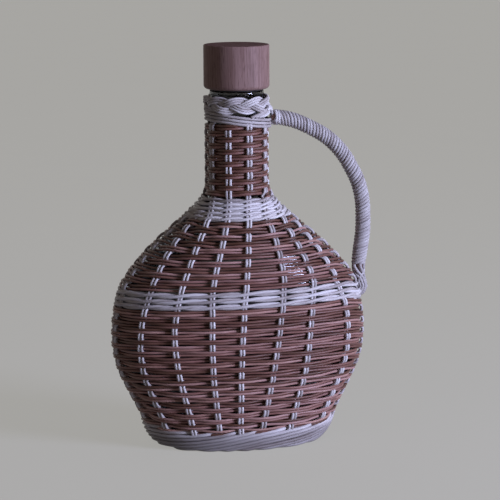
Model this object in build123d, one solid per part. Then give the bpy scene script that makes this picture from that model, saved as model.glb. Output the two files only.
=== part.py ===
"""Wicker-covered flat flask with a turned stopper and a reed-wrapped cane handle.

The origin is the middle of the base on the ground. X runs along the flask's wide way, towards
the handle, Y through its thin way, and Z up. All lengths are millimetres.
"""
import math
import os

from build123d import *

# Glass flask
glass_half_width = 74.2
glass_half_depth = 33.7
neck_radius = 15.5
body_height = 158.4
neck_wall = 5.0
glass_wall = 2.5
glass_floor = 4.0
heel_radius = 7.0
neck_length = 54.6
lip_height = 2.6
lip_proud = 0.7
lip_rounding = 0.6

# Oval outline: share of body_height, then shares of the way from the neck radius out to the
# glass's half width and half depth
form_shares = (
    (0.000, 0.503, 0.632),
    (0.038, 0.593, 0.736),
    (0.076, 0.656, 0.808),
    (0.148, 0.739, 0.890),
    (0.230, 0.854, 0.962),
    (0.319, 0.959, 0.995),
    (0.419, 1.000, 1.000),
    (0.520, 0.978, 1.000),
    (0.609, 0.915, 0.984),
    (0.685, 0.762, 0.929),
    (0.760, 0.564, 0.808),
    (0.835, 0.322, 0.599),
    (0.898, 0.145, 0.335),
    (0.950, 0.031, 0.082),
    (1.000, 0.000, 0.000),
)
# The heel's quarter round: share of its radius in, share of its radius up
heel_shares = ((1.0, 0.0), (0.5, 0.13), (0.13, 0.5))

# Wicker layers, from the glass outwards
seat_gap = 0.15
weave_thickness = 1.7
stake_gap = 0.2
stake_thickness = 1.45

# Heights at which the rows change, and how far below and above the body's top the upper ones lie
mat_thickness = 3.0
foot_height = 10.6
middle_low = 86.4
middle_height = 10.5
shoulder_drop = 21.8
shoulder_height = 12.4
neck_weave_length = 40.8

# Rows of reed: how many each part has, and how the groove between two rows is cut
foot_rows = 4
lower_rows = 22
middle_rows = 3
upper_rows = 11
shoulder_rows = 5
neck_rows = 14
row_groove = 1.1
row_crest = 0.6

# Stakes
stake_count = 18
reed_width = 1.4
reed_spacing = 2.2
neck_stake_length = 32.8
short_stake_rise = 5.8
long_stakes = (0, 1, 7, 8, 9, 10, 15, 16, 17)
# Levels as shares of the body's height, then each stake's places round the flask at those levels,
# counted in stake spacings from the front
stake_level_shares = (0.076, 0.278, 0.480, 0.650, 0.795, 0.884, 1.000)
stake_places = (
    (0.50, 0.72, 0.95, 1.18, 1.30, 1.46, 2.65),
    (1.68, 1.81, 1.96, 2.24, 2.31, 2.75, 4.65),
    (3.10, 3.25, 3.30, 3.15, 3.25, 3.60, 3.70),
    (4.20, 4.30, 4.40, 4.30, 4.30, 4.50, 4.60),
    (5.15, 5.22, 5.35, 5.30, 5.24, 5.35, 5.40),
    (6.14, 6.20, 6.22, 6.19, 6.22, 6.20, 6.20),
    (7.06, 7.12, 7.19, 7.20, 7.14, 7.05, 7.00),
    (8.05, 8.14, 8.16, 8.12, 8.08, 7.90, 6.65),
    (9.04, 9.06, 9.05, 9.04, 9.08, 9.00, 8.65),
    (10.00, 9.96, 9.98, 10.02, 10.05, 10.15, 10.65),
    (10.92, 10.94, 11.00, 11.00, 10.94, 11.25, 12.65),
    (11.94, 11.96, 11.93, 11.88, 11.90, 12.10, 12.20),
    (12.86, 12.84, 12.80, 12.84, 12.84, 12.90, 13.00),
    (13.82, 13.76, 13.75, 13.84, 13.74, 13.75, 13.80),
    (14.76, 14.66, 14.70, 14.84, 14.69, 14.62, 14.60),
    (15.81, 15.76, 15.69, 15.81, 15.79, 15.60, 14.75),
    (16.79, 16.80, 16.81, 16.78, 16.86, 16.82, 16.59),
    (17.62, 17.68, 17.77, 17.88, 18.00, 18.17, 18.58),
)

# Neck binding and plait
binding_reed = 1.9
binding_pitch = 2.4
binding_turns = 2
binding_tilt_share = 0.065
binding_gap = 0.15
braid_gap = 0.6
braid_height = 10.2
braid_thickness = 4.4
braid_rounding = 1.6

# Handle
cane_radius = 2.9
handle_gap = 0.9
handle_seat_gap = 0.5
handle_foot_rise = 1.5
handle_head_rise = 5.2
# Cane route: share of the reach, share of the rise from foot to head, and bend radius there
handle_shares = (
    (0.000, 1.000),
    (0.235, 0.984),
    (0.691, 0.861),
    (0.968, 0.594),
    (0.986, 0.362),
    (0.921, 0.133),
    (1.000, 0.000),
)
handle_bends = (40.0, 50.0, 50.0, 90.0, 24.0)

# Reed wound on the handle
winding_reed = 1.5
winding_turns = 24
winding_gap = 0.15
winding_foot_gap = 19.5
lashing_reed = 1.8
lashing_turns = 2
lashing_pitch = 2.6
lashing_inset = 1.4
tie_reed = 1.6
tie_count = 4
tie_pitch = 3.4
tie_inset = 2.2
tie_gap = 0.35

# Stopper
cap_radius = 19.6
cap_height = 26.2
cap_top_rounding = 0.8
cap_foot_rounding = 2.4
gasket_thickness = 0.7
gasket_edge = 0.4
gasket_bore_gap = 0.25
cork_clearance = 0.1
cork_length = 30.0
cork_socket = 8.0
cork_chamfer = 1.0
glue_gap = 0.1

# How far a cutting body runs past what it cuts
overrun = 5.0


def slopes(values, places):
    """Slope of a list of values at each place, from its neighbours."""
    last = len(values) - 1
    found = []
    for i in range(len(values)):
        low = max(i - 1, 0)
        high = min(i + 1, last)
        found.append((values[high] - values[low]) / (places[high] - places[low]))
    return found


lip_top = body_height + neck_length
middle_high = middle_low + middle_height
shoulder_low = body_height - shoulder_drop
shoulder_high = shoulder_low + shoulder_height
short_stake_top = shoulder_low + short_stake_rise
neck_weave_top = body_height + neck_weave_length
stake_top = body_height + neck_stake_length
braid_low = neck_weave_top + braid_gap
braid_high = braid_low + braid_height
handle_foot = middle_low + handle_foot_rise
handle_head = stake_top + handle_head_rise

levels = [share[0] * body_height for share in form_shares]
half_widths = [neck_radius + share[1] * (glass_half_width - neck_radius) for share in form_shares]
half_depths = [neck_radius + share[2] * (glass_half_depth - neck_radius) for share in form_shares]
width_slopes = slopes(half_widths, levels)
depth_slopes = slopes(half_depths, levels)
width_slopes[-1] = 0.0
depth_slopes[-1] = 0.0
# Every shell and stake is drawn through the same rungs: the levels and the points halfway between
halfway = [(low + high) / 2 for low, high in zip(levels, levels[1:])]
rungs = sorted(levels + halfway)


def between(places, values, steepness, level):
    """Value and slope at any level, on a smooth curve through a list of values."""
    if level >= places[-1]:
        return values[-1], 0.0
    i = max(k for k in range(len(places) - 1) if places[k] <= max(level, places[0]))
    span = places[i + 1] - places[i]
    t = (level - places[i]) / span
    h00 = 2 * t ** 3 - 3 * t ** 2 + 1
    h10 = t ** 3 - 2 * t ** 2 + t
    h01 = 3 * t ** 2 - 2 * t ** 3
    h11 = t ** 3 - t ** 2
    value = h00 * values[i] + h01 * values[i + 1] + span * (h10 * steepness[i] + h11 * steepness[i + 1])
    g00 = (6 * t ** 2 - 6 * t) / span
    g10 = 3 * t ** 2 - 4 * t + 1
    g11 = 3 * t ** 2 - 2 * t
    slope = g00 * (values[i] - values[i + 1]) + g10 * steepness[i] + g11 * steepness[i + 1]
    return value, slope


def oval(level, offset):
    """Half width and half depth of the form at a level, moved out square to its slope."""
    width, width_slope = between(levels, half_widths, width_slopes, level)
    depth, depth_slope = between(levels, half_depths, depth_slopes, level)
    half_width = width + offset * math.hypot(1, width_slope)
    half_depth = depth + offset * math.hypot(1, depth_slope)
    return half_width, min(half_depth, half_width)


def slab(low, high):
    """Block that holds everything between two levels."""
    side = 4 * glass_half_width
    return Pos(0, 0, low) * Box(side, side, high - low, align=(Align.CENTER, Align.CENTER, Align.MIN))


def body_skin(offset):
    """Oval body up to the neck, moved out from the glass."""
    sections = [Pos(0, 0, level) * Ellipse(*oval(level, offset)) for level in rungs]
    return loft(sections)


def disc(radius, low, high):
    return Pos(0, 0, low) * Cylinder(radius, high - low, align=(Align.CENTER, Align.CENTER, Align.MIN))


def layer(inner, outer):
    """Shell between two offsets from the glass, up to the neck."""
    return body_skin(outer) - body_skin(inner)


def rows_on(shell, outer, low, high, rows):
    """Shell with a groove cut round it between each two rows of reed."""
    pitch = (high - low) / rows
    steps = []
    for row in range(rows):
        steps.append((low + row * pitch, outer - row_groove))
        steps.append((low + (row + 0.5) * pitch, outer + row_crest))
    steps.append((high, outer - row_groove))
    sections = [Pos(0, 0, level) * Ellipse(*oval(level, offset)) for level, offset in steps]
    return shell & loft(sections, ruled=True)


def neck_sleeve(inner, outer, low, high):
    return disc(neck_radius + outer, low, high) - disc(neck_radius + inner, low - overrun, high + overrun)


neck_bore_radius = neck_radius - neck_wall
lean_height = (middle_low + middle_high) / 2
weave_in = seat_gap
weave_out = weave_in + weave_thickness
stakes_in = weave_out + stake_gap
stakes_out = stakes_in + stake_thickness


def glass_flask():
    outside = body_skin(0) & slab(mat_thickness, body_height)
    heel = outside.faces().sort_by(Axis.Z)[0].edges()
    outside = fillet(heel, heel_radius)
    outside += disc(neck_radius, body_height, lip_top)
    lip = disc(neck_radius + lip_proud, lip_top - lip_height, lip_top)
    lip = fillet(lip.edges().filter_by(GeomType.CIRCLE), lip_rounding)
    floor = mat_thickness + glass_floor
    rows = []
    for inset_share, rise_share in heel_shares:
        level = floor + rise_share * heel_radius
        half_width, half_depth = oval(level, -glass_wall - inset_share * heel_radius)
        rows.append((level, half_width, half_depth))
    for level in levels:
        if level > floor + heel_radius:
            half_width, half_depth = oval(level, -glass_wall)
            blend = max(0.0, (level - lean_height) / (body_height - lean_height)) ** 2
            thicker = blend * (neck_radius - glass_wall - neck_bore_radius)
            rows.append((level, half_width - thicker, half_depth - thicker))
    inside = loft([Pos(0, 0, level) * Ellipse(wide, deep) for level, wide, deep in rows])
    inside += disc(neck_bore_radius, body_height, lip_top + overrun)
    return outside + lip - inside


def base_mat():
    half_width, half_depth = oval(0, seat_gap - stake_gap)
    return extrude(Ellipse(half_width, half_depth), mat_thickness)


def arc_angle(half_width, half_depth, share):
    """Angle from the front at which an oval's arc length reaches a share of the way round."""
    steps = 360
    turn = 2 * math.pi
    angles = [turn * i / steps for i in range(steps + 1)]
    run = [0.0]
    for i in range(steps):
        middle = (angles[i] + angles[i + 1]) / 2
        speed = math.hypot(half_width * math.cos(middle), half_depth * math.sin(middle))
        run.append(run[-1] + speed * (angles[i + 1] - angles[i]))
    wanted = (share % 1.0) * run[-1]
    i = max(k for k in range(steps) if run[k] <= wanted)
    return angles[i] + (angles[i + 1] - angles[i]) * (wanted - run[i]) / (run[i + 1] - run[i])


stake_levels = [share * body_height for share in stake_level_shares]


def stake_share(index, level):
    """Place of a stake round the flask at a level, as a share of the way round."""
    places = stake_places[index]
    steepness = slopes(places, stake_levels)
    steepness[-1] = 0.0
    return between(stake_levels, places, steepness, level)[0] / stake_count


def reed_section(index, side, level):
    """Cross-section of one of a stake's two reeds, flat at a level."""
    half_width, half_depth = oval(level, (stakes_in + stakes_out) / 2)
    middle = arc_angle(half_width, half_depth, stake_share(index, level))
    speed = math.hypot(half_width * math.cos(middle), half_depth * math.sin(middle))
    start = (side * reed_spacing / 2 - reed_width / 2) / speed
    end = (side * reed_spacing / 2 + reed_width / 2) / speed
    corners = []
    for offset, turn in ((stakes_in, start), (stakes_in, end), (stakes_out, end), (stakes_out, start)):
        wide, deep = oval(level, offset)
        angle = middle + turn
        corners.append((wide * math.sin(angle), -deep * math.cos(angle), level))
    return Face(Wire.make_polygon([Vector(*corner) for corner in corners], close=True))


def stake(index):
    top = body_height if index in long_stakes else short_stake_top
    steps = [level for level in rungs if foot_height + reed_width < level < top - reed_width]
    reeds = []
    for side in (-1, 1):
        reed = loft([reed_section(index, side, level) for level in [foot_height, *steps, top]])
        if index in long_stakes:
            ends = [reed_section(index, side, body_height), reed_section(index, side, stake_top)]
            reed = reed + loft(ends, ruled=True)
        reeds.append(reed.solid())
    return Compound(reeds)


def biarc(start, start_way, end, end_way):
    """Two arcs that leave one point along its way and reach the other along its own."""
    gap = end - start
    ways = start_way + end_way
    spread = 2 * (1 - start_way.dot(end_way))
    reach = (math.sqrt(gap.dot(ways) ** 2 + spread * gap.dot(gap)) - gap.dot(ways)) / spread
    corner_a = start + start_way * reach
    corner_b = end - end_way * reach
    middle = (corner_a + corner_b) / 2
    way = (corner_b - corner_a).normalized()
    return [TangentArc(start, middle, tangent=start_way), TangentArc(middle, end, tangent=way)]


def wound_tube(point_at, way_at, turns, reed, name):
    """Unbroken round reed through the points of a winding, with a straight run at each end."""
    halves = 2 * turns
    points = [point_at(i / halves) for i in range(halves + 1)]
    ways = [way_at(i / halves).normalized() for i in range(halves + 1)]
    edges = [Line(points[0] - ways[0] * reed, points[0])]
    for i in range(halves):
        edges += biarc(points[i], ways[i], points[i + 1], ways[i + 1])
    edges.append(Line(points[-1], points[-1] + ways[-1] * reed))
    route = Wire([edge.edge() if hasattr(edge, "edge") else edge for edge in edges])
    section = Plane(origin=route @ 0, z_dir=route % 0) * Circle(reed / 2)
    samples = [edge @ (k / 6) for edge in route.edges() for k in range(6)]
    apart = len(samples) // (2 * turns)
    least = min(
        (a - b).length
        for i, a in enumerate(samples)
        for b in samples[i + apart:i + 6 * apart]
    )
    print(f"{name}: {turns} turns, {route.length:.0f} mm, least gap to itself {least - reed:.2f} mm")
    return sweep(section, path=route)


def neck_binding():
    radius = neck_radius + weave_out + binding_gap + binding_reed / 2
    low = stake_top + binding_gap + binding_reed / 2 + binding_tilt_share * radius
    full = 2 * math.pi

    def point_at(share):
        angle = full * binding_turns * share
        x = radius * math.cos(angle)
        rise = low + binding_pitch * binding_turns * share - binding_tilt_share * x
        return Vector(x, radius * math.sin(angle), rise)

    def way_at(share):
        angle = full * binding_turns * share
        climb = binding_pitch / full + binding_tilt_share * radius * math.sin(angle)
        return Vector(-radius * math.sin(angle), radius * math.cos(angle), climb)

    return wound_tube(point_at, way_at, binding_turns, binding_reed, "neck_binding")


def neck_braid():
    inner = neck_radius + seat_gap
    ring = disc(inner + braid_thickness, braid_low, braid_high)
    ring = fillet(ring.edges().filter_by(GeomType.CIRCLE), braid_rounding)
    return ring - disc(inner, braid_low - overrun, braid_high + overrun)


handle_root = neck_radius + stakes_out + handle_gap
handle_reach = oval(handle_foot, stakes_out)[0] + handle_seat_gap + cane_radius - handle_root
handle_points = [
    (handle_root + across * handle_reach, 0, handle_foot + up * (handle_head - handle_foot))
    for across, up in handle_shares
]
cane_line = FilletPolyline(*handle_points, radius=list(handle_bends))
cane_length = cane_line.length


def handle_core():
    section = Plane(origin=cane_line @ 0, z_dir=cane_line % 0) * Circle(cane_radius)
    return sweep(section, path=cane_line)


def wound_on_cane(first, last, turns, reed, name):
    """Reed wound round the cane between two lengths along it."""
    radius = cane_radius + winding_gap + reed / 2
    side = Vector(0, 1, 0)
    full = 2 * math.pi

    def point_at(share):
        place = (first + (last - first) * share) / cane_length
        up = side.cross(cane_line % place)
        angle = full * turns * share
        return (cane_line @ place) + (up * math.cos(angle) + side * math.sin(angle)) * radius

    def way_at(share):
        step = 1 / (turns * 90)
        low = max(0.0, share - step)
        high = min(1.0, share + step)
        return point_at(high) - point_at(low)

    return wound_tube(point_at, way_at, turns, reed, name)


def handle_top_lashing():
    first = lashing_inset + lashing_reed
    last = first + lashing_turns * lashing_pitch
    return wound_on_cane(first, last, lashing_turns, lashing_reed, "handle_top_lashing")


def handle_winding():
    first = lashing_inset + lashing_reed * 2 + lashing_turns * lashing_pitch + winding_reed
    last = cane_length - winding_foot_gap
    return wound_on_cane(first, last, winding_turns, winding_reed, "handle_winding")


def handle_lower_lashing():
    """Strands that pass over the cane's foot, each with its two legs turned in at the wicker."""
    radius = cane_radius + tie_gap + tie_reed / 2
    strands = []
    for i in range(tie_count):
        place = 1 - (tie_inset + i * tie_pitch) / cane_length
        centre = cane_line @ place
        wide, deep = oval(centre.Z, stakes_out)
        skin = wide * math.sqrt(1 - (radius / deep) ** 2)
        leg = skin + tie_gap
        route = Wire([
            Line((leg, -radius, centre.Z), (centre.X, -radius, centre.Z)).edge(),
            ThreePointArc(
                (centre.X, -radius, centre.Z), (centre.X + radius, 0, centre.Z), (centre.X, radius, centre.Z)
            ).edge(),
            Line((centre.X, radius, centre.Z), (leg, radius, centre.Z)).edge(),
        ])
        section = Plane(origin=route @ 0, z_dir=route % 0) * Circle(tie_reed / 2)
        strands.append(sweep(section, path=route).solid())
    return Compound(strands)


def cap_head():
    low = lip_top + gasket_thickness
    head = disc(cap_radius, low, low + cap_height)
    rims = head.edges().filter_by(GeomType.CIRCLE).sort_by(Axis.Z)
    head = fillet(rims[0], cap_foot_rounding)
    rims = head.faces().sort_by(Axis.Z)[-1].edges()
    head = fillet(rims, cap_top_rounding)
    cork_radius = neck_bore_radius - cork_clearance
    return head - disc(cork_radius + glue_gap, low - overrun, low + cork_socket)


def cork_shank():
    radius = neck_bore_radius - cork_clearance
    top = lip_top + gasket_thickness + cork_socket
    cork = disc(radius, lip_top - cork_length, top)
    foot = cork.faces().sort_by(Axis.Z)[0].edges()
    return chamfer(foot, cork_chamfer)


def gasket_ring():
    hole = neck_bore_radius - cork_clearance + gasket_bore_gap
    ring = disc(neck_radius - gasket_edge, lip_top, lip_top + gasket_thickness)
    return ring - disc(hole, lip_top - overrun, lip_top + overrun)


os.makedirs("parts", exist_ok=True)


def save(name, shape):
    shape.label = name
    export_step(shape, f"parts/{name}.step")


weave = layer(weave_in, weave_out)
save("glass_flask", glass_flask())
save("base_mat", base_mat())
foot = layer(weave_in, stakes_out)
save("foot_band", rows_on(foot, stakes_out, 0, foot_height, foot_rows))
save("lower_weave", rows_on(weave, weave_out, foot_height, middle_low, lower_rows))
save("middle_band", rows_on(weave, weave_out, middle_low, middle_high, middle_rows))
save("upper_weave", rows_on(weave, weave_out, middle_high, shoulder_low, upper_rows))
save("shoulder_band", rows_on(weave, weave_out, shoulder_low, shoulder_high, shoulder_rows))
upper_neck = neck_sleeve(weave_in, weave_out, body_height, neck_weave_top)
neck = (weave & slab(shoulder_high, body_height)) + upper_neck
save("neck_weave", rows_on(neck, weave_out, shoulder_high, neck_weave_top, neck_rows))
for number in range(stake_count):
    save(f"stake_{number + 1:02d}", stake(number))
save("neck_binding", neck_binding())
save("neck_braid", neck_braid())
save("handle_core", handle_core())
save("handle_winding", handle_winding())
save("handle_top_lashing", handle_top_lashing())
save("handle_lower_lashing", handle_lower_lashing())
save("cap_head", cap_head())
save("cork_shank", cork_shank())
save("gasket_ring", gasket_ring())
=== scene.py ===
import math
import random

import bmesh
import bpy
import numpy as np
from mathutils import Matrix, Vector
from mathutils.bvhtree import BVHTree


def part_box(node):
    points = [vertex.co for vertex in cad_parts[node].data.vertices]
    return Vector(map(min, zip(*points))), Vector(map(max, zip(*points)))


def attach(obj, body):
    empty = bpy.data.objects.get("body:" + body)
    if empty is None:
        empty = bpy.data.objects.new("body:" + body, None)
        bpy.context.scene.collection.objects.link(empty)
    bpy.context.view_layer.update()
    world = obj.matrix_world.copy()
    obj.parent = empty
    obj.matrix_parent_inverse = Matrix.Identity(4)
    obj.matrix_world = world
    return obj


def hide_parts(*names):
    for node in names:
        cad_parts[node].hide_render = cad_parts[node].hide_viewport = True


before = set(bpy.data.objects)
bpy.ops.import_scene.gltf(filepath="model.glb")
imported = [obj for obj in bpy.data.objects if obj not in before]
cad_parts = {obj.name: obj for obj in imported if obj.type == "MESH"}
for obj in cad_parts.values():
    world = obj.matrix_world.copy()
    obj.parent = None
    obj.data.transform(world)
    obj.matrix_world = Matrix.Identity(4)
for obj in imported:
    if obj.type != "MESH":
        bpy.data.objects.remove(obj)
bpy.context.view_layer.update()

mm = 0.001
tau = math.tau
print("frame loaded,", len(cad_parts), "nodes")


# Shader sums written as Python sums
class Signal:
    def __init__(self, finish, socket):
        self.finish = finish
        self.socket = socket

    def maths(self, operation, *values):
        return self.finish.node("ShaderNodeMath", {"operation": operation}, dict(enumerate(values)))

    def __add__(self, other):
        return self.maths("ADD", self, other)

    def __radd__(self, other):
        return self.maths("ADD", other, self)

    def __sub__(self, other):
        return self.maths("SUBTRACT", self, other)

    def __rsub__(self, other):
        return self.maths("SUBTRACT", other, self)

    def __mul__(self, other):
        return self.maths("MULTIPLY", self, other)

    def floor(self):
        return self.maths("FLOOR", self)

    def sine(self):
        return self.maths("SINE", self)

    def cosine(self):
        return self.maths("COSINE", self)

    def above(self, edge, softness):
        return self.finish.node(
            "ShaderNodeMapRange", {"interpolation_type": "SMOOTHSTEP"},
            {0: self, 1: edge - softness, 2: edge + softness})


class Finish:
    def __init__(self, owner):
        # the owner is a material or a world
        self.owner = owner
        self.owner.use_nodes = True
        self.tree = self.owner.node_tree
        self.tree.nodes.clear()

    def node(self, kind, settings=None, sockets=None, output=0):
        made = self.tree.nodes.new(kind)
        for key, value in (settings or {}).items():
            if key == "stops":
                steps = made.color_ramp.elements
                while len(steps) < len(value):
                    steps.new(1)
                for step, (place, colour) in zip(steps, value):
                    step.position = place
                    step.color = (*colour, 1)
            else:
                setattr(made, key, value)
        for key, value in (sockets or {}).items():
            if isinstance(value, Signal):
                self.tree.links.new(value.socket, made.inputs[key])
            else:
                made.inputs[key].default_value = value
        return Signal(self, made.outputs[output]) if made.outputs else made

    def vector(self, x, y, z):
        return self.node("ShaderNodeCombineXYZ", None, {0: x, 1: y, 2: z})

    def noise(self, place, scale, detail=2.0, roughness=0.5):
        return self.node(
            "ShaderNodeTexNoise", None,
            {"Vector": place, "Scale": scale, "Detail": detail, "Roughness": roughness})

    def ramp(self, amount, stops):
        return self.node("ShaderNodeValToRGB", {"stops": stops}, {0: amount})

    def blend(self, amount, first, second, kind="MIX"):
        first = first if isinstance(first, Signal) else (*first, 1)
        second = second if isinstance(second, Signal) else (*second, 1)
        return self.node(
            "ShaderNodeMix", {"data_type": "RGBA", "blend_type": kind},
            {0: amount, 6: first, 7: second}, 2)

    def axis(self, place, name):
        return self.node("ShaderNodeSeparateXYZ", None, {0: place}, name)

    def spot(self, kind="Object"):
        return self.node("ShaderNodeTexCoord", None, None, kind)

    def chance(self, number):
        return self.node("ShaderNodeTexWhiteNoise", {"noise_dimensions": "1D"}, {"W": number})

    def bump(self, height, strength, distance):
        return self.node(
            "ShaderNodeBump", None, {"Height": height, "Strength": strength, "Distance": distance})

    def seen(self):
        # 1 for what the camera sees straight, in gloss or through glass
        rays = [self.node("ShaderNodeLightPath", None, None, name)
                for name in ("Is Camera Ray", "Is Glossy Ray", "Is Transmission Ray")]
        return rays[0].maths("MINIMUM", rays[0] + rays[1] + rays[2], 1.0)

    def close(self, sockets):
        shader = self.node("ShaderNodeBsdfPrincipled", None, sockets)
        self.node("ShaderNodeOutputMaterial", None, {"Surface": shader})
        return self.owner


# Finishes
# Each look also sets how strongly its reeds take the painted shade near the ground
whiteReedLook = {
    "deep": (0.32, 0.275, 0.265), "body": (0.59, 0.555, 0.555), "pale": (0.80, 0.775, 0.78),
    "toneSpread": 0.34, "roughness": 0.5, "fibreDepth": 0.5, "footShadeShare": 0.66, "warmth": 0.2,
}
windingLook = {
    "deep": (0.28, 0.24, 0.23), "body": (0.48, 0.45, 0.45), "pale": (0.62, 0.60, 0.605),
    "toneSpread": 0.16, "roughness": 0.5, "fibreDepth": 0.25, "footShadeShare": 0.0, "warmth": 0.2,
}
brownReedLook = {
    "deep": (0.10, 0.043, 0.030), "body": (0.235, 0.113, 0.098), "pale": (0.44, 0.262, 0.24),
    "toneSpread": 0.55, "roughness": 0.44, "fibreDepth": 0.6, "footShadeShare": 0.15, "warmth": 0.65,
}
caneLook = {
    "deep": (0.09, 0.04, 0.03), "body": (0.25, 0.125, 0.10), "pale": (0.42, 0.25, 0.21),
    "toneSpread": 0.3, "roughness": 0.5, "fibreDepth": 0.7, "footShadeShare": 0.0, "warmth": 0.5,
}
# Fibres run along a reed, patches are longer and differ from strand to strand
reedGrain = {
    "ring": 2.2, "strandStep": 7.3, "fibreRun": 90, "fibreScale": 1.6, "fibreShare": 0.55,
    "patchStep": 3.1, "patchRun": 42, "patchShare": 0.45, "gloss": 0.35, "roughSpread": 0.3,
    "deepAt": 0.26, "bodyAt": 0.48, "paleAt": 0.74, "bumpDepth": 0.18 * mm,
}
warming = {"tint": (1.06, 0.97, 0.74), "strandStep": 5.3, "run": 18, "shift": 0.37, "plane": 2.5}
# the painted shade near the ground: its colour, the height where it ends and how softly it fades there
paintedFootShade = {"colour": (0.13, 0.105, 0.10), "top": 9.5 * mm, "fade": 4.5 * mm}


def reedFinish(name, look):
    # the map's x is the strand's number plus the place round it, its y the length along it
    finish = Finish(bpy.data.materials.new(name))
    place = finish.node("ShaderNodeUVMap", {"uv_map": "reed"})
    across = finish.axis(place, "X")
    along = finish.axis(place, "Y")
    number = across.floor()
    turn = (across - number) * tau
    ringX = turn.cosine() * reedGrain["ring"] + number * reedGrain["strandStep"]
    ringY = turn.sine() * reedGrain["ring"]
    fibrePlace = finish.vector(ringX, ringY, along * reedGrain["fibreRun"])
    fibres = finish.noise(fibrePlace, reedGrain["fibreScale"], 3.0, 0.6)
    patchPlace = finish.vector(number * reedGrain["patchStep"], along * reedGrain["patchRun"], 0.5)
    patches = finish.noise(patchPlace, 1.0, 2.0, 0.5)
    strand = finish.chance(number)
    shade = (fibres * reedGrain["fibreShare"] + patches * reedGrain["patchShare"]
             + (strand - 0.5) * look["toneSpread"])
    clean = finish.ramp(shade, [
        (reedGrain["deepAt"], look["deep"]), (reedGrain["bodyAt"], look["body"]),
        (reedGrain["paleAt"], look["pale"])])
    # painted shade: the reeds are darkened towards the ground, standing in for the shade that falls low
    # on the foot
    height = finish.axis(finish.spot(), "Z")
    footShadeAmount = (1.0 - height.above(paintedFootShade["top"], paintedFootShade["fade"])) * look["footShadeShare"]
    footShaded = finish.blend(footShadeAmount, clean, paintedFootShade["colour"])
    hue = finish.chance(number + warming["shift"])
    warmPlace = finish.vector(number * warming["strandStep"], along * warming["run"], warming["plane"])
    warm = finish.noise(warmPlace, 1.0, 1.0, 0.5)
    colour = finish.blend((hue * 0.5 + warm * 0.5) * look["warmth"], footShaded, warming["tint"], "MULTIPLY")
    return finish.close({
        "Base Color": colour,
        "Roughness": look["roughness"] + (fibres - 0.5) * reedGrain["roughSpread"],
        "Specular IOR Level": reedGrain["gloss"],
        "Normal": finish.bump(fibres, look["fibreDepth"], reedGrain["bumpDepth"]),
    })


beechLook = {
    "late": (0.195, 0.112, 0.093), "early": (0.305, 0.193, 0.168), "fleck": (0.10, 0.05, 0.036),
    "broad": 150.0, "grain": 1100.0, "stretch": 0.03, "lean": 0.03, "broadShare": 0.35,
    "fineShare": 0.65, "pores": 1700.0, "poreStretch": 0.12, "poreEdge": 0.63, "fleckStrength": 0.45,
    "endStrength": 0.22, "roughness": 0.48, "gloss": 0.22,
}


def beechFinish(name, look):
    finish = Finish(bpy.data.materials.new(name))
    place = finish.spot()
    x = finish.axis(place, "X")
    y = finish.axis(place, "Y")
    z = finish.axis(place, "Z")
    lean = finish.vector(x + z * look["lean"], y, z * look["stretch"])
    broad = finish.noise(lean, look["broad"], 3.0, 0.6)
    fine = finish.noise(lean, look["grain"], 2.0, 0.6)
    pores = finish.noise(finish.vector(x, y, z * look["poreStretch"]), look["pores"], 1.0, 0.4)
    flecks = pores.above(look["poreEdge"], 0.06)
    shade = broad * look["broadShare"] + fine * look["fineShare"]
    wood = finish.ramp(shade, [(0.36, look["late"]), (0.62, look["early"])])
    flecked = finish.blend(flecks * look["fleckStrength"], wood, look["fleck"])
    # the end grain on top drinks more varnish
    endGrain = finish.axis(finish.spot("Normal"), "Z").above(0.8, 0.15)
    colour = finish.blend(endGrain * look["endStrength"], flecked, look["fleck"])
    height = fine * 0.5 - flecks * 0.5
    return finish.close({
        "Base Color": colour,
        "Roughness": look["roughness"] + fine * 0.2 + endGrain * 0.3,
        "Specular IOR Level": look["gloss"] - endGrain * 0.2,
        "Normal": finish.bump(height, 0.25, 0.1 * mm),
    })


corkLook = {
    "deep": (0.36, 0.22, 0.12), "pale": (0.62, 0.43, 0.26), "pit": (0.16, 0.08, 0.045),
    "grain": 900.0, "pits": 420.0, "pitEdge": 0.62, "pitStrength": 0.8, "roughness": 0.75,
}


def corkFinish(name, look):
    finish = Finish(bpy.data.materials.new(name))
    place = finish.spot()
    grain = finish.noise(place, look["grain"], 4.0, 0.6)
    pits = finish.noise(place, look["pits"], 2.0, 0.5).above(look["pitEdge"], 0.04)
    clean = finish.ramp(grain, [(0.3, look["deep"]), (0.7, look["pale"])])
    return finish.close({
        "Base Color": finish.blend(pits * look["pitStrength"], clean, look["pit"]),
        "Roughness": look["roughness"] + grain * 0.2,
        "Normal": finish.bump(grain - pits, 0.5, 0.25 * mm),
    })


rubberLook = {
    "deep": (0.016, 0.015, 0.015), "pale": (0.045, 0.042, 0.04), "dust": 1300.0, "roughness": 0.55,
}


def rubberFinish(name, look):
    finish = Finish(bpy.data.materials.new(name))
    dust = finish.noise(finish.spot(), look["dust"], 3.0, 0.6)
    return finish.close({
        "Base Color": finish.ramp(dust, [(0.3, look["deep"]), (0.75, look["pale"])]),
        "Roughness": look["roughness"] + dust * 0.25,
        "Normal": finish.bump(dust, 0.3, 0.05 * mm),
    })


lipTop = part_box("glass_flask")[1].z
glassLook = {
    "deep": (0.17, 0.18, 0.215), "pale": (0.27, 0.29, 0.33), "ripple": 55.0, "rippleDepth": 0.04,
    "smear": 260.0, "roughness": 0.07, "crownMiddle": lipTop - 1.5 * mm, "crownLow": lipTop - 2.7 * mm,
    "crownCurve": 220000.0,
}


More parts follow.
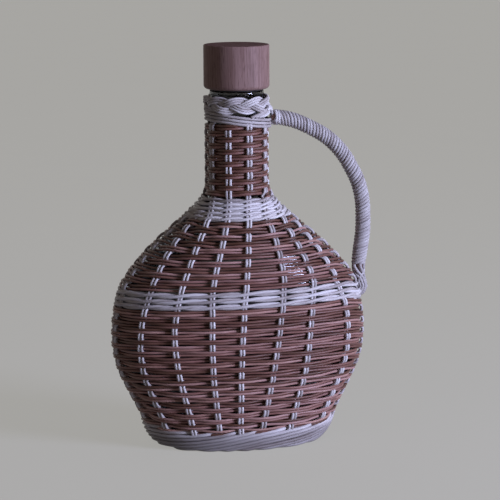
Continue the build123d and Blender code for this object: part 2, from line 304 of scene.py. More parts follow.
def glassFinish(name, look):
    finish = Finish(bpy.data.materials.new(name))
    place = finish.spot()
    ripple = finish.noise(place, look["ripple"], 1.0, 0.4)
    smear = finish.noise(place, look["smear"], 3.0, 0.6)
    # the lip's wall is slightly crowned, as a fire-polished bead is
    height = finish.axis(place, "Z")
    rise = height - look["crownMiddle"]
    crown = rise * rise * look["crownCurve"] * height.above(look["crownLow"], 0.1 * mm)
    return finish.close({
        "Base Color": finish.ramp(smear, [(0.2, look["deep"]), (0.9, look["pale"])]),
        "Roughness": look["roughness"] + smear * 0.06,
        "Transmission Weight": 1.0,
        "IOR": 1.5,
        "Normal": finish.bump(ripple * look["rippleDepth"] - crown, 1.0, 1.0 * mm),
    })


whiteReed = reedFinish("whiteReed", whiteReedLook)
woundReed = reedFinish("woundReed", windingLook)
brownReed = reedFinish("brownReed", brownReedLook)
caneSkin = reedFinish("caneSkin", caneLook)
beech = beechFinish("beech", beechLook)
cork = corkFinish("cork", corkLook)
darkRubber = rubberFinish("darkRubber", rubberLook)
clearGlass = glassFinish("clearGlass", glassLook)
print("finishes made")


# The seat: the oval surface just outside the glass, on which all the wicker lies
seatNodes = ["foot_band", "lower_weave", "middle_band", "upper_weave", "shoulder_band", "neck_weave"]
# rays go out a hair beside the seams of the solids, and each reach is the mean of its neighbours
seat = {"low": 0.35 * mm, "step": 0.9 * mm, "smooth": 2, "offSeam": 0.002}


def treeOf(names):
    corners = []
    faces = []
    for name in names:
        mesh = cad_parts[name].data
        start = len(corners)
        corners += [v.co.copy() for v in mesh.vertices]
        faces += [[start + i for i in p.vertices] for p in mesh.polygons]
    return BVHTree.FromPolygons(corners, faces)


seatTree = treeOf(seatNodes)
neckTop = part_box("neck_weave")[1].z
seatLevels = np.arange(seat["low"], neckTop, seat["step"])


def seatReach(way):
    reach = [seatTree.ray_cast(Vector((0, 0, level)), way)[3] for level in seatLevels]
    padded = np.pad(reach, seat["smooth"], mode="edge")
    count = 2 * seat["smooth"] + 1
    return np.convolve(padded, np.ones(count) / count, mode="valid")


seatWide = seatReach(Vector((1, seat["offSeam"], 0)).normalized())
seatDeep = seatReach(Vector((seat["offSeam"], -1, 0)).normalized())
wideSlopes = np.gradient(seatWide, seatLevels)
deepSlopes = np.gradient(seatDeep, seatLevels)


def onSeat(level, angle, lift):
    # angle runs from the front, towards the handle; lift is the height above the seat
    wide = np.interp(level, seatLevels, seatWide)
    deep = np.interp(level, seatLevels, seatDeep)
    wideSlope = np.interp(level, seatLevels, wideSlopes)
    deepSlope = np.interp(level, seatLevels, deepSlopes)
    s = math.sin(angle)
    c = math.cos(angle)
    normal = Vector((deep * s, -wide * c, -wide * deepSlope * c * c - deep * wideSlope * s * s))
    return Vector((wide * s, -deep * c, level)) + normal.normalized() * lift


def angleFor(place):
    wide = np.interp(place.z, seatLevels, seatWide)
    deep = np.interp(place.z, seatLevels, seatDeep)
    return math.atan2(place.x / wide, -place.y / deep)


def arcSpeed(level, angle):
    wide = np.interp(level, seatLevels, seatWide)
    deep = np.interp(level, seatLevels, seatDeep)
    return math.hypot(wide * math.cos(angle), deep * math.sin(angle))


# Where each stake runs, read from slices of the solids
stakeNames = [f"stake_{i:02d}" for i in range(1, 19)]
slicing = {"weld": 0.001 * mm, "first": 0.5 * mm, "step": 4 * mm, "longTop": 170 * mm}


def stakeTrack(name):
    solid = bmesh.new()
    solid.from_mesh(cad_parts[name].data)
    bmesh.ops.remove_doubles(solid, verts=solid.verts, dist=slicing["weld"])
    low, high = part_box(name)
    levels = np.arange(low.z + slicing["first"], high.z, slicing["step"])
    angles = []
    for level in levels:
        whole = solid.verts[:] + solid.edges[:] + solid.faces[:]
        cut = bmesh.ops.bisect_plane(solid, geom=whole, plane_co=(0, 0, level), plane_no=(0, 0, 1))
        spots = [g.co for g in cut["geom_cut"] if isinstance(g, bmesh.types.BMVert)]
        angles.append(angleFor(sum(spots, Vector()) / len(spots)))
    solid.free()
    return levels, np.unwrap(angles)


stakeTracks = [stakeTrack(name) for name in stakeNames]
allStakes = list(range(len(stakeNames)))
longStakes = [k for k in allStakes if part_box(stakeNames[k])[1].z > slicing["longTop"]]
shortTop = min(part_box(name)[1].z for name in stakeNames)


def stakeAngles(level, stakes):
    angles = []
    for k in stakes:
        levels, track = stakeTracks[k]
        angle = float(np.interp(level, levels, track))
        while angles and angle < angles[-1]:
            angle += tau
        angles.append(angle)
    return angles


print("seat and stakes read")

# Reeds
strandCount = 0
dice = random.Random(7)
weld = 0.0005 * mm


def addReed(piece, path, radius, closed=False, sides=8):
    # one round reed along a path, with its number and length kept in the map
    global strandCount
    strandCount += 1
    curve = bpy.data.curves.new("reed", "CURVE")
    curve.dimensions = "3D"
    curve.bevel_depth = 1.0
    curve.bevel_resolution = sides // 2 - 2
    curve.use_fill_caps = not closed
    spline = curve.splines.new("POLY")
    spline.points.add(len(path) - 1)
    thickness = radius if isinstance(radius, list) else [radius] * len(path)
    run = 0.0
    runs = []
    for i, place in enumerate(path):
        spline.points[i].co = (*place, 1)
        spline.points[i].radius = thickness[i]
        run += (place - path[i - 1]).length if i else 0.0
        runs.append(run)
    spline.use_cyclic_u = closed
    holder = bpy.data.objects.new("reed", curve)
    mesh = bpy.data.meshes.new_from_object(holder)
    corners = np.zeros(len(mesh.loops), dtype=np.int32)
    mesh.loops.foreach_get("vertex_index", corners)
    ring = np.minimum(corners // sides, len(path) - 1)
    around = (corners % sides) / sides
    runs = np.array(runs)
    along = runs[ring]
    starts = np.zeros(len(mesh.polygons), dtype=np.int32)
    mesh.polygons.foreach_get("loop_start", starts)
    totals = np.zeros(len(mesh.polygons), dtype=np.int32)
    mesh.polygons.foreach_get("loop_total", totals)
    for start, total in zip(starts, totals):
        # a face across a seam takes the values past the end, not those of the start
        part = around[start:start + total]
        if part.max() - part.min() > 0.5:
            part[part < 0.5] += 1
        length = along[start:start + total]
        if closed and length.max() - length.min() > run / 2:
            length[length < run / 2] += run
    flat = np.empty(len(corners) * 2, dtype=np.float32)
    # the place round the reed stays below 1, and the whole part is the strand's number
    flat[0::2] = strandCount + np.minimum(around, 0.998)
    flat[1::2] = along
    layer = mesh.uv_layers.active or mesh.uv_layers.new(name="reed")
    layer.name = "reed"
    layer.uv.foreach_set("vector", flat)
    piece.from_mesh(mesh)
    bpy.data.objects.remove(holder)
    bpy.data.curves.remove(curve)
    bpy.data.meshes.remove(mesh)


def finishPiece(name, mesh, material, body, nodes):
    bmesh.ops.remove_doubles(mesh, verts=mesh.verts, dist=weld)
    for face in mesh.faces:
        face.smooth = True
    made = bpy.data.meshes.new(name)
    mesh.to_mesh(made)
    mesh.free()
    made.materials.append(material)
    piece = bpy.data.objects.new(name, made)
    bpy.context.scene.collection.objects.link(piece)
    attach(piece, body)
    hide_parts(*nodes)
    triangles = sum(len(p.vertices) - 2 for p in made.polygons)
    print(f"{name}: {triangles} triangles")


def wobble(size, seed):
    # a slow uneven wave round the flask, in whole waves so that it closes
    chance = random.Random(seed)
    waves = [(n, chance.uniform(-1, 1) * size / n ** 0.5, chance.uniform(0, tau))
             for n in (1, 2, 3, 5, 8)]
    return lambda angle: sum(height * math.sin(n * angle + start) for n, height, start in waves)


# The weave over the body: two reeds to a row, in front of every other stake
weave = {
    "reed": 0.80 * mm, "middle": 1.75 * mm, "swing": 1.0 * mm, "flatness": 1.4, "steps": 7,
    "spread": -0.07, "unevenness": 0.25 * mm, "roughLift": 0.12 * mm, "sizes": (0.93, 1.05),
}
stakeWork = {
    "reed": 0.84 * mm, "apart": 1.9 * mm, "swing": 1.2 * mm, "step": 0.7 * mm, "fullness": 1.9,
    "lowest": 0.8 * mm, "foot": (1.0 * mm, 0.9 * mm), "shortTuck": 1.5 * mm, "shortClear": 2 * mm,
    "neckTuck": 3 * mm, "neckLift": 1.0 * mm, "drift": 0.12 * mm, "driftRun": 0.21,
    "sizes": (0.94, 1.06),
}
bands = {
    "lowRows": 22, "middleRows": 3, "upperRows": 11, "shoulderRows": 5,
    "foot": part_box("foot_band")[1].z, "middleLow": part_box("middle_band")[0].z,
    "middleHigh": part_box("middle_band")[1].z, "shoulderLow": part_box("shoulder_band")[0].z,
    "shoulderHigh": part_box("shoulder_band")[1].z,
}
# How the rows stray from level: a tilt, a rise at the foot's two ends and a droop under the handle
stray = {
    "tilt": 1.0 * mm, "tiltLevels": (0, 10 * mm, 100 * mm, bands["shoulderHigh"]),
    "tiltShares": (0, 1, 1, 0),
    "endRise": 3.2 * mm, "riseLevels": (12 * mm, 60 * mm), "riseShares": (1, 0),
    "droop": 4.2 * mm, "droopLevels": (30 * mm, 75 * mm, 120 * mm, 145 * mm),
    "droopShares": (0, 1, 0.8, 0), "droopWidth": 0.38,
}


def rowShift(level, angle):
    tilt = stray["tilt"] * float(np.interp(level, stray["tiltLevels"], stray["tiltShares"]))
    rise = stray["endRise"] * float(np.interp(level, stray["riseLevels"], stray["riseShares"]))
    droop = stray["droop"] * float(np.interp(level, stray["droopLevels"], stray["droopShares"]))
    offEnd = math.remainder(angle - math.pi / 2, tau) / stray["droopWidth"]
    return (tilt * (math.sin(angle) + 0.5 * math.cos(angle)) + rise * math.sin(angle) ** 6
            - droop * math.exp(-offEnd * offEnd))


def overUnder(s, flatness):
    return math.tanh(flatness * math.cos(math.pi * s)) / math.tanh(flatness)


def ringPath(levelAt, stakes, laps, liftAt, steps):
    # a path round the flask that counts stakes: s is a whole number at each one
    count = len(stakes)
    path = []
    for i in range(laps * count * steps):
        s = i / steps
        k = int(s) % count
        level = levelAt(s, 0.0)
        anchors = stakeAngles(level, [stakes[k], stakes[(k + 1) % count]])
        angle = anchors[0] + ((anchors[1] - anchors[0]) % tau) * (s - int(s))
        reach = levelAt(s, angle)
        path.append(onSeat(reach + rowShift(reach, angle), angle, liftAt(s)))
    return path


rowSigns = []


def plainRow(piece, level, pitch, sign, seed):
    rough = wobble(weave["unevenness"], seed)
    lean = wobble(weave["roughLift"], seed + 1)
    rowSigns.append((level, sign))
    for half in (-1, 1):
        extra = wobble(weave["unevenness"] * 0.5, seed + 2 + half)

        def levelAt(s, angle):
            spread = 1 + weave["spread"] * sign * overUnder(s, weave["flatness"])
            return level + rough(angle) + extra(angle) + half * pitch / 4 * spread

        def liftAt(s):
            out = sign * overUnder(s, weave["flatness"])
            return weave["middle"] + weave["swing"] * out + lean(s * tau / len(allStakes))

        radius = weave["reed"] * dice.uniform(*weave["sizes"])
        path = ringPath(levelAt, allStakes, 1, liftAt, weave["steps"])
        addReed(piece, path, radius, closed=True)


def plainRows(name, low, high, count, nodes, seed):
    piece = bmesh.new()
    pitch = (high - low) / count
    for row in range(count):
        sign = (-1) ** row
        plainRow(piece, low + (row + 0.5) * pitch, pitch, sign, seed + 10 * row)
    finishPiece(name, piece, brownReed, "bottle", nodes)


plainRows("lowerWeave", bands["foot"], bands["middleLow"], bands["lowRows"], ["lower_weave"], 100)
plainRows("upperWeave", bands["middleHigh"], bands["shoulderLow"], bands["upperRows"],
          ["upper_weave"], 900)

# Twined white rows: two reeds that change places at each gap between stakes
twine = {
    "reed": 0.98 * mm, "middle": 1.8 * mm, "swing": 1.0 * mm, "rise": 0.78 * mm, "steps": 8,
    "unevenness": 0.2 * mm, "shoulderScale": 0.88, "sizes": (0.95, 1.04),
}


def twinedRow(piece, level, stakes, seed, scale):
    rough = wobble(twine["unevenness"], seed)
    odd = len(stakes) % 2
    for strand in ((0,) if odd else (0, 1)):
        sign = 1 - 2 * strand

        def levelAt(s, angle):
            return level + rough(angle) + sign * twine["rise"] * scale * math.sin(math.pi * s)

        def liftAt(s):
            return twine["middle"] + sign * twine["swing"] * math.cos(math.pi * s)

        path = ringPath(levelAt, stakes, 2 if odd else 1, liftAt, twine["steps"])
        addReed(piece, path, twine["reed"] * scale * dice.uniform(*twine["sizes"]), closed=True)


def twinedRows(name, low, high, count, nodes, seed, scale):
    piece = bmesh.new()
    pitch = (high - low) / count
    for row in range(count):
        level = low + (row + 0.5) * pitch
        stakes = allStakes if level < shortTop else longStakes
        rowSigns.append((level, 0))
        twinedRow(piece, level, stakes, seed + row, scale)
    finishPiece(name, piece, whiteReed, "bottle", nodes)


twinedRows("middleBand", bands["middleLow"], bands["middleHigh"], bands["middleRows"], ["middle_band"],
           40, 1.0)
twinedRows("shoulderBand", bands["shoulderLow"], bands["shoulderHigh"], bands["shoulderRows"],
           ["shoulder_band"], 60, twine["shoulderScale"])

# The foot: a rolled border, where one reed from each stake climbs past five or six others
foot = {
    "reed": 1.07 * mm, "low": 1.1 * mm, "high": bands["foot"] + 0.9 * mm, "spans": 5.6, "steps": 9,
    "middle": 1.5 * mm, "swing": 1.35 * mm, "tail": 0.55, "leftRise": 0.28, "bow": 0.5 * mm,
    "drift": 0.2 * mm, "tuck": 0.7, "sizes": (0.94, 1.05), "holds": (0.25, 0.5, 0.75),
}


def footBand():
    piece = bmesh.new()
    # the border holds each stake at three heights
    for share in foot["holds"]:
        rowSigns.append((foot["low"] + (foot["high"] - foot["low"]) * share, 0))
    for k in allStakes:
        chance = random.Random(70 + k)
        drift = chance.uniform(-1, 1) * foot["drift"]
        path = []
        steps = int((foot["spans"] + 2 * foot["tail"]) * foot["steps"])
        size = foot["reed"] * chance.uniform(*foot["sizes"])
        for i in range(steps + 1):
            s = k - foot["tail"] + i / foot["steps"]
            share = (s - k) / foot["spans"]
            level = foot["low"] + (foot["high"] - foot["low"]) * min(1.0, max(0.0, share))
            level += drift * math.sin(math.pi * share)
            first = int(s // 1) % len(allStakes)
            anchors = stakeAngles(level, [first, (first + 1) % len(allStakes)])
            angle = anchors[0] + ((anchors[1] - anchors[0]) % tau) * (s % 1.0)
            nearEnd = min(s - k + foot["tail"], k + foot["spans"] + foot["tail"] - s) / foot["tail"]
            ease = min(1.0, max(0.0, nearEnd * foot["tuck"]))
            lift = foot["middle"] + foot["swing"] * (ease * ease * (3 - 2 * ease) * 2 - 1)
            level *= 1 + foot["leftRise"] * max(0.0, -math.sin(angle)) ** 4
            lift += foot["bow"] * math.sin(math.pi * min(1.0, max(0.0, share)))
            place = onSeat(level + rowShift(level, angle), angle, lift)
            # no reed goes below the ground
            place.z = max(place.z, size)
            path.append(place)
        addReed(piece, path, size)
    finishPiece("footBand", piece, whiteReed, "bottle", ["foot_band"])


footBand()

# The neck: one spiral of two brown reeds over the nine long stakes
neck = {
    "rows": 12, "reed": 0.9 * mm, "steps": 6, "low": bands["shoulderHigh"], "phase": 0.12,
    "high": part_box("neck_binding")[0].z + 1.2 * mm, "unevenness": 0.12 * mm, "drift": 0.35,
}


def neckWeave():
    piece = bmesh.new()
    pitch = (neck["high"] - neck["low"]) / neck["rows"]
    for half in (-1, 1):
        rough = wobble(neck["unevenness"], 300 + half)

        def levelAt(s, angle):
            turns = s / len(longStakes) + neck["phase"]
            return neck["low"] + pitch * turns + half * pitch / 4 + rough(angle + s * neck["drift"])

        def liftAt(s):
            return weave["middle"] + weave["swing"] * overUnder(s, weave["flatness"])

        path = ringPath(levelAt, longStakes, neck["rows"], liftAt, neck["steps"])
        addReed(piece, path, neck["reed"])
    finishPiece("neckWeave", piece, brownReed, "bottle", ["neck_weave"])


neckWeave()


# The stakes: two white reeds each, pushed in and out by the rows
def stakeKnots(k):
    # each knot is a level and the stake's lift there
    knots = [stakeWork["foot"]]
    for level, sign in sorted(rowSigns):
        shifted = level + rowShift(level, stakeAngles(level, [k])[0])
        knots.append((shifted, weave["middle"] - stakeWork["swing"] * sign * (-1) ** k))
    if k not in longStakes:
        knots = [knot for knot in knots if knot[0] < shortTop - stakeWork["shortClear"]]
        knots.append((shortTop + stakeWork["shortTuck"], stakeWork["lowest"]))
        return knots
    pitch = (neck["high"] - neck["low"]) / neck["rows"]
    for lap in range(neck["rows"]):
        s = longStakes.index(k) + len(longStakes) * lap
        level = neck["low"] + pitch * (s / len(longStakes) + neck["phase"])
        knots.append((level, weave["middle"] - stakeWork["swing"] * (-1) ** s))
    knots.append((neck["high"] + stakeWork["neckTuck"], stakeWork["neckLift"]))
    return sorted(knots)


def easedLift(level, knots):
    i = max([j for j in range(len(knots) - 1) if knots[j][0] <= level] or [0])
    low, high = knots[i], knots[i + 1]
    t = min(1.0, max(0.0, (level - low[0]) / (high[0] - low[0])))
    for _ in range(2):
        t = t * t * (3 - 2 * t)
    # a stake springs out early and dives late
    t = 1 - (1 - t) ** stakeWork["fullness"] if high[1] > low[1] else t ** stakeWork["fullness"]
    return low[1] + (high[1] - low[1]) * t


def stakeReeds(k):
    piece = bmesh.new()
    knots = stakeKnots(k)
    low = knots[0][0]
    high = knots[-1][0]
    steps = int((high - low) / stakeWork["step"])
    chance = random.Random(500 + k)
    for side in (-1, 1):
        drift = chance.uniform(-1, 1) * stakeWork["drift"]
        path = []
        for i in range(steps + 1):
            level = low + (high - low) * i / steps
            angle = stakeAngles(level, [k])[0]
            shift = side * stakeWork["apart"] / 2 + drift * math.sin(i * stakeWork["driftRun"] + k)
            angle += shift / arcSpeed(level, angle)
            path.append(onSeat(level, angle, max(stakeWork["lowest"], easedLift(level, knots))))
        addReed(piece, path, stakeWork["reed"] * chance.uniform(*stakeWork["sizes"]))
    finishPiece(f"stake{k + 1:02d}", piece, whiteReed, "bottle", [stakeNames[k]])


for k in allStakes:
    stakeReeds(k)

# The plait under the lip: three strands of three reeds
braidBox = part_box("neck_braid")
braid = {
    "waves": 3, "strands": 3, "reed": 0.72 * mm, "apart": 1.4 * mm, "depth": 1.2 * mm, "steps": 108,
    "inset": 0.9, "sizes": (0.95, 1.05),
    "low": braidBox[0].z, "high": braidBox[1].z, "outside": braidBox[1].x,
}


def neckBraid():
    piece = bmesh.new()
    middle = (braid["low"] + braid["high"]) / 2
    swing = (braid["high"] - braid["low"]) / 2 - braid["reed"] - braid["apart"] * braid["inset"]
    radius = braid["outside"] - braid["depth"] - braid["reed"]
    waves = braid["waves"]
    for strand in range(braid["strands"]):
        start = strand * tau / braid["strands"]
        for lane in (-1, 0, 1):
            path = []
            for i in range(braid["steps"]):
                angle = tau * i / braid["steps"]
                phase = waves * angle + start
                rise = swing * math.sin(phase)
                out = radius + braid["depth"] * math.sin(2 * phase)
                climb = waves * swing * math.cos(phase) / radius
                length = math.hypot(1, climb)
                turn = angle - lane * braid["apart"] * climb / length / radius
                level = middle + rise + lane * braid["apart"] / length
                path.append(Vector((out * math.sin(turn), -out * math.cos(turn), level)))
            addReed(piece, path, braid["reed"] * dice.uniform(*braid["sizes"]), closed=True)
    finishPiece("neckBraid", piece, whiteReed, "bottle", ["neck_braid"])


neckBraid()

# The binding: three white rounds under the plait, lower on the handle's side
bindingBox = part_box("neck_binding")
binding = {
    "reed": 0.88 * mm, "rounds": 3, "pitch": 1.95 * mm, "tilt": 0.155, "steps": 48, "bulge": 1.5 * mm,
    "start": 1.9,
}


def neckBinding():
    piece = bmesh.new()
    radius = bindingBox[1].x - binding["reed"]
    middle = (bindingBox[0].z + bindingBox[1].z) / 2
    path = []
    total = binding["rounds"] * binding["steps"]
    for i in range(total + 1):
        share = i / total
        angle = tau * binding["rounds"] * share + binding["start"]
        level = middle + (share - 0.5) * binding["pitch"] * binding["rounds"]
        out = radius + binding["bulge"] * max(0.0, math.sin(angle)) ** 8
        x = out * math.sin(angle)
        path.append(Vector((x, -out * math.cos(angle), level - binding["tilt"] * x)))
    addReed(piece, path, binding["reed"])
    finishPiece("neckBinding", piece, whiteReed, "bottle", ["neck_binding"])


neckBinding()

# The handle: the line of the cane is read from slices of its solid, fanned about a point in its arch
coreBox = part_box("handle_core")
fan = {
    "slices": 64, "pivotIn": 6 * mm, "pivotShare": 0.38, "topIn": 1 * mm, "topDown": 3 * mm,
    "footIn": 3.2 * mm, "footUp": 1 * mm,
}
handle = {
    "coreReed": 2.68 * mm, "coreSteps": 60, "reed": 1.0 * mm, "wayReach": 1.5 * mm,
    "taperRun": 24 * mm, "footShare": 0.54, "firstTurn": 2.4 * mm, "lastTurn": 17.0 * mm,
    "lead": 10.6 * mm, "footLead": 9.4 * mm, "starts": (0.0, 0.195, 0.39, 0.59, 0.785),
    "turnSteps": 28, "sway": 0.012, "swayRun": 1.7, "swell": 0.05, "swellRun": 2.1,
}
# The five reeds leave the cane in a bundle that runs down its outer side into the middle band
bundle = {
    "middle": 4.2, "spread": 0.62, "steps": 18, "thinning": 0.24, "haste": 1.5, "short": 0.5 * mm,
    "farTurn": math.pi * 1.2, "endSteps": 6, "drop": 3.0 * mm, "tuck": 3.9 * mm, "slope": 1.2 * mm,
    "gather": 0.3,
}


def handleLine():
    solid = bmesh.new()
    solid.from_mesh(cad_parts["handle_core"].data)
    bmesh.ops.remove_doubles(solid, verts=solid.verts, dist=slicing["weld"])
    low, high = coreBox
    pivot = Vector((low.x + fan["pivotIn"], 0, low.z + fan["pivotShare"] * (high.z - low.z)))
    topEnd = Vector((low.x + fan["topIn"], 0, high.z - fan["topDown"])) - pivot
    footEnd = Vector((high.x - fan["footIn"], 0, low.z + fan["footUp"])) - pivot
    first = math.atan2(topEnd.z, topEnd.x)
    last = math.atan2(footEnd.z, footEnd.x)
    line = []
    for i in range(fan["slices"] + 1):
        turn = first + (last - first) * i / fan["slices"]
        way = Vector((math.cos(turn), 0, math.sin(turn)))
        square = Vector((-way.z, 0, way.x))
        whole = solid.verts[:] + solid.edges[:] + solid.faces[:]
        cut = bmesh.ops.bisect_plane(solid, geom=whole, plane_co=pivot, plane_no=square)
        spots = [g.co for g in cut["geom_cut"]
                 if isinstance(g, bmesh.types.BMVert) and (g.co - pivot).dot(way) > 0]
        if spots:
            middle = [(min(s[n] for s in spots) + max(s[n] for s in spots)) / 2 for n in range(3)]
            line.append(Vector(middle))
    solid.free()
    return line


caneLine = handleLine()
caneRuns = [0.0]
for before, after in zip(caneLine, caneLine[1:]):
    caneRuns.append(caneRuns[-1] + (after - before).length)
caneLength = caneRuns[-1]
print(f"cane {caneLength / mm:.0f} mm long")


def onCane(length):
    return Vector([float(np.interp(length, caneRuns, [p[n] for p in caneLine])) for n in range(3)])


def caneWay(length):
    return (onCane(length + handle["wayReach"]) - onCane(length - handle["wayReach"])).normalized()


def roundCane(length, angle, radius):
    side = Vector((0, 1, 0))
    up = side.cross(caneWay(length))
    return onCane(length) + (up * math.cos(angle) + side * math.sin(angle)) * radius


def taper(length):
    # the wrapped handle narrows towards its foot
    left = min(1.0, (caneLength - length) / handle["taperRun"])
    return handle["footShare"] + (1 - handle["footShare"]) * left


def handleCore():
    piece = bmesh.new()
    lengths = [caneLength * i / handle["coreSteps"] for i in range(handle["coreSteps"] + 1)]
    path = [onCane(length) for length in lengths]
    addReed(piece, path, [handle["coreReed"] * taper(length) for length in lengths], sides=16)
    finishPiece("handleCore", piece, caneSkin, "bottle", ["handle_core"])


def windingTurns():
    # the turns wound up to each length along the cane
    end = caneLength - handle["lastTurn"]
    lengths = [handle["firstTurn"]]
    turns = [0.0]
    while lengths[-1] < end:
        # the lead changes over the last third
        late = max(0.0, 3 * lengths[-1] / end - 2)
        lead = handle["lead"] + (handle["footLead"] - handle["lead"]) * late
        lengths.append(lengths[-1] + lead / handle["turnSteps"])
        turns.append(turns[-1] + 1 / handle["turnSteps"])
    return lengths, turns


def handleWinding():
    piece = bmesh.new()
    chance = random.Random(31)
    lengths, turns = windingTurns()
    for number, start in enumerate(handle["starts"]):
        drift = chance.uniform(0, tau)
        path = []
        thickness = []
        for length, turn in zip(lengths, turns):
            radius = handle["coreReed"] * taper(length) + handle["reed"]
            sway = handle["sway"] * math.sin(turn * handle["swayRun"] + drift)
            path.append(roundCane(length, tau * (turn + start + sway), radius))
            swell = handle["swell"] * math.sin(turn * handle["swellRun"] + drift)
            thickness.append(handle["reed"] * (1 + swell))
        steps = bundle["steps"]
        first = (tau * (turns[-1] + start + sway)) % tau
        wanted = bundle["middle"] + (number - 2) * bundle["spread"]
        turnLeft = (wanted - first) % tau
        if turnLeft > bundle["farTurn"]:
            turnLeft -= tau
        for i in range(1, steps + 1):
            share = i / steps
            length = lengths[-1] + (caneLength - bundle["short"] - lengths[-1]) * share
            ease = min(1.0, share * bundle["haste"])
            ease = ease * ease * (3 - 2 * ease)
            size = handle["reed"] * (1 - bundle["thinning"] * ease)
            radius = handle["coreReed"] * taper(length) + size
            path.append(roundCane(length, first + turnLeft * ease, radius))
            thickness.append(size)
        last = path[-1]
        for i in range(1, bundle["endSteps"] + 1):
            share = i / bundle["endSteps"]
            inward = bundle["tuck"] * share ** 2 + bundle["slope"] * share
            down = bundle["drop"] * math.sin(share * math.pi / 2)
            path.append(last - Vector((inward, last.y * bundle["gather"] * share, down)))
            thickness.append(size)
        addReed(piece, path, thickness)
    finishPiece("handleWinding", piece, woundReed, "bottle", ["handle_winding"])


handleCore()
handleWinding()

# The top tie: the end of the wound reed comes over from the plait and round the cane's end
topTie = {
    "reed": 0.88 * mm, "turns": 2, "slack": 0.3 * mm, "step": 1.5 * mm, "overSteps": 6, "overFrom": 52,
    "overTo": 85, "overStep": 4, "overRise": 2.4 * mm, "overOut": 0.9 * mm, "overBow": 0.6 * mm,
    "meets": 1.5 * mm, "roundSteps": 25, "roundFrom": -0.25, "roundTurns": 0.92, "lead": 1.7 * mm,
}
# Short reeds slant up from the binding on both sides of the cane; the angles are in degrees
slant = {
    "reed": 0.836 * mm, "count": 4, "steps": 12, "from": 14, "step": 9, "sweep": 50, "low": -1.5 * mm,
    "climb": 5.2 * mm, "climbStep": 0.6 * mm, "inset": 0.4 * mm, "bow": 0.5 * mm,
}


def roundNeck(angle, out, level, side=1):
    return Vector((out * math.sin(angle), -out * math.cos(angle) * side, level))


def handleTopLashing():
    piece = bmesh.new()
    radius = handle["coreReed"] + topTie["reed"] + topTie["slack"]
    ring = braid["outside"] - braid["reed"]
    for strand in range(topTie["turns"]):
        path = []
        high = braid["low"] + topTie["overRise"] + topTie["step"] * strand
        low = onCane(topTie["meets"]).z + radius
        first = topTie["overFrom"] + topTie["overStep"] * strand
        for i in range(topTie["overSteps"] + 1):
            share = i / topTie["overSteps"]
            angle = math.radians(first + (topTie["overTo"] - first) * share)
            out = ring + topTie["overOut"] + topTie["overBow"] * share ** 2
            path.append(roundNeck(angle, out, high - (high - low) * share ** 2))
        start = topTie["meets"] + topTie["step"] * strand
        for i in range(topTie["roundSteps"] + 1):
            share = i / topTie["roundSteps"]
            angle = topTie["roundFrom"] + share * tau * topTie["roundTurns"]
            path.append(roundCane(start + share * topTie["lead"], angle, radius))
        addReed(piece, path, topTie["reed"])
    for side in (1, -1):
        for strand in range(slant["count"]):
            path = []
            climb = slant["climb"] - slant["climbStep"] * strand
            for i in range(slant["steps"] + 1):
                share = i / slant["steps"]
                angle = math.radians(slant["from"] + slant["step"] * strand + slant["sweep"] * share)
                level = bindingBox[1].z + slant["low"] + climb * share
                out = ring - slant["inset"] + slant["bow"] * math.sin(math.pi * share)
                path.append(roundNeck(angle, out, level, side))
            addReed(piece, path, slant["reed"])
    finishPiece("handleTopLashing", piece, whiteReed, "bottle", ["handle_top_lashing"])


# The lower tie: reeds down the inner and back sides of the cane, that turn into the band's rows
lowTie = {
    "reed": 0.9 * mm, "angles": (-0.08, 0.58, 1.24, 1.9), "ways": (-1, -1, 1, 1), "high": 19.0 * mm,
    "steps": 14, "bend": 10, "run": 0.34, "haste": 2.2, "sideways": 0.04, "fall": 2.0 * mm,
    "fallStep": 1.3 * mm, "liftFrom": 3.4 * mm, "liftTo": 1.2 * mm, "settle": 1.3,
}


def handleLowerLashing():
    piece = bmesh.new()
    for number, (angle, way) in enumerate(zip(lowTie["angles"], lowTie["ways"])):
        path = []
        for i in range(lowTie["steps"] + 1):
            length = caneLength - lowTie["high"] * (1 - i / lowTie["steps"])
            under = min(1.0, lowTie["haste"] * i / lowTie["steps"])
            radius = handle["coreReed"] * taper(length) + lowTie["reed"] * (2 * under - 1)
            path.append(roundCane(length, angle, radius))
        last = path[-1]
        for i in range(1, lowTie["bend"] + 1):
            share = i / lowTie["bend"]
            ease = share * share * (3 - 2 * share)
            place = math.pi / 2 - way * (lowTie["sideways"] + lowTie["run"] * share)
            level = last.z - (lowTie["fall"] + lowTie["fallStep"] * (number % 2)) * ease
            lift = lowTie["liftFrom"] + (lowTie["liftTo"] - lowTie["liftFrom"]) * share
            path.append(last.lerp(onSeat(level, place, lift), min(1.0, ease * lowTie["settle"])))
        addReed(piece, path, lowTie["reed"])
    finishPiece("handleLowerLashing", piece, whiteReed, "bottle",
                ["handle_lower_lashing"])


handleTopLashing()
handleLowerLashing()

# The base: oval rounds of reed over the ends of the stakes
base = {
    "reed": 1.0 * mm, "rounds": 13, "pitch": 2.02 * mm, "least": 0.8 * mm, "steps": 96,
    "level": 1.3 * mm, "ripple": 0.25 * mm, "waves": 9, "riseRounds": 5,
}


def baseMat():
    piece = bmesh.new()
    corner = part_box("base_mat")[1]
    for row in range(base["rounds"]):
        inset = base["reed"] + base["pitch"] * row
        wide = corner.x - inset
        deep = max(corner.y - inset, base["least"])
        rise = stray["endRise"] * max(0.0, 1 - row / base["riseRounds"])
        path = []
        for i in range(base["steps"]):
            angle = tau * i / base["steps"]
            ripple = base["ripple"] * math.cos(base["waves"] * angle + math.pi * row)
            level = base["level"] + ripple + rise * math.sin(angle) ** 6
            path.append(Vector((wide * math.sin(angle), -deep * math.cos(angle), level)))
        addReed(piece, path, base["reed"], closed=True, sides=6)
    finishPiece("baseMat", piece, whiteReed, "bottle", ["base_mat"])


baseMat()


# Solids that keep their shape
def dress(node, material):
    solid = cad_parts[node]
    solid.data.materials.clear()
    solid.data.materials.append(material)


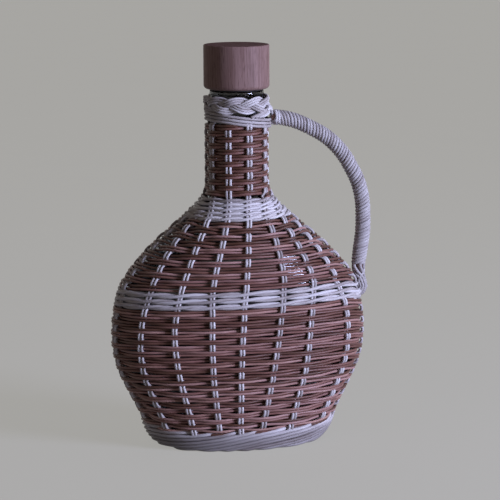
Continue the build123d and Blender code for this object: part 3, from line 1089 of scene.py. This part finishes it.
dress("glass_flask", clearGlass)
dress("cap_head", beech)
dress("cork_shank", cork)
dress("gasket_ring", darkRubber)
print("solids dressed,", strandCount, "reeds laid")

# Floor, light and camera
stageLook = {
    "floor": (0.30, 0.295, 0.27), "floorDark": 0.96, "floorRough": 0.85, "mottle": 9.0,
    "floorGlow": 0.46, "glowColour": (0.76, 0.75, 0.72), "size": 6.0,
    "camera": (-0.2994, -1.4085, 0.3494), "aim": (0.00704, -0.0015, 0.1164), "lens": 175.0,
    "roll": -0.3, "shift": 0.001, "sky": (1.0, 0.77, 0.72), "skyPower": 0.045,
    "backdrop": (0.60, 0.595, 0.58),
}
lamps = {
    "key": {"place": (1.118, -1.006, 0.50), "size": 0.6, "power": 33.0, "colour": (0.622, 0.665, 1.0)},
    "fill": {"place": (-1.0, -1.5, 0.9), "size": 1.6, "power": 0.45, "colour": (1.0, 0.73, 0.62)},
}


def makeFloor():
    sheet = bmesh.new()
    bmesh.ops.create_grid(sheet, x_segments=2, y_segments=2, size=stageLook["size"])
    made = bpy.data.meshes.new("floor")
    sheet.to_mesh(made)
    sheet.free()
    floor = bpy.data.objects.new("floor", made)
    bpy.context.scene.collection.objects.link(floor)
    finish = Finish(bpy.data.materials.new("floorPaint"))
    mottle = finish.noise(finish.spot(), stageLook["mottle"], 3.0, 0.5)
    dark = tuple(c * stageLook["floorDark"] for c in stageLook["floor"])
    colour = finish.ramp(mottle, [(0.3, dark), (0.7, stageLook["floor"])])
    paint = finish.node(
        "ShaderNodeBsdfPrincipled", None, {"Base Color": colour, "Roughness": stageLook["floorRough"]})
    glow = finish.node("ShaderNodeEmission", None, {"Color": (*stageLook["glowColour"], 1)})
    share = finish.seen() * stageLook["floorGlow"]
    mix = finish.node("ShaderNodeMixShader", None, {0: share, 1: paint, 2: glow})
    finish.node("ShaderNodeOutputMaterial", None, {"Surface": mix})
    made.materials.append(finish.owner)


def aimAtMiddle(thing, place):
    # lamps and cameras look along their own -Z
    thing.location = place
    way = Vector(stageLook["aim"]) - Vector(place)
    thing.rotation_euler = way.to_track_quat("-Z", "Y").to_euler()


def makeLamp(name, look):
    lamp = bpy.data.lights.new(name, "AREA")
    lamp.shape = "DISK"
    lamp.size = look["size"]
    lamp.energy = look["power"]
    lamp.color = look["colour"]
    holder = bpy.data.objects.new(name, lamp)
    bpy.context.scene.collection.objects.link(holder)
    aimAtMiddle(holder, look["place"])


def makeCamera():
    lens = bpy.data.cameras.new("camera")
    lens.lens = stageLook["lens"]
    lens.sensor_width = 36.0
    camera = bpy.data.objects.new("camera", lens)
    bpy.context.scene.collection.objects.link(camera)
    aimAtMiddle(camera, stageLook["camera"])
    camera.rotation_euler.rotate_axis("Z", math.radians(stageLook["roll"]))
    lens.shift_x = stageLook["shift"]
    bpy.context.scene.camera = camera


def makeSky():
    world = bpy.data.worlds.new("studio")
    bpy.context.scene.world = world
    sky = Finish(world)
    light = sky.node("ShaderNodeBackground", None,
                     {"Color": (*stageLook["sky"], 1), "Strength": stageLook["skyPower"]})
    backdrop = sky.node("ShaderNodeBackground", None, {"Color": (*stageLook["backdrop"], 1)})
    mix = sky.node("ShaderNodeMixShader", None, {0: sky.seen(), 1: light, 2: backdrop})
    sky.node("ShaderNodeOutputWorld", None, {"Surface": mix})


makeFloor()
for name, look in lamps.items():
    makeLamp(name, look)
makeCamera()
makeSky()
bpy.context.scene.view_settings.view_transform = "Standard"
print("stage set")
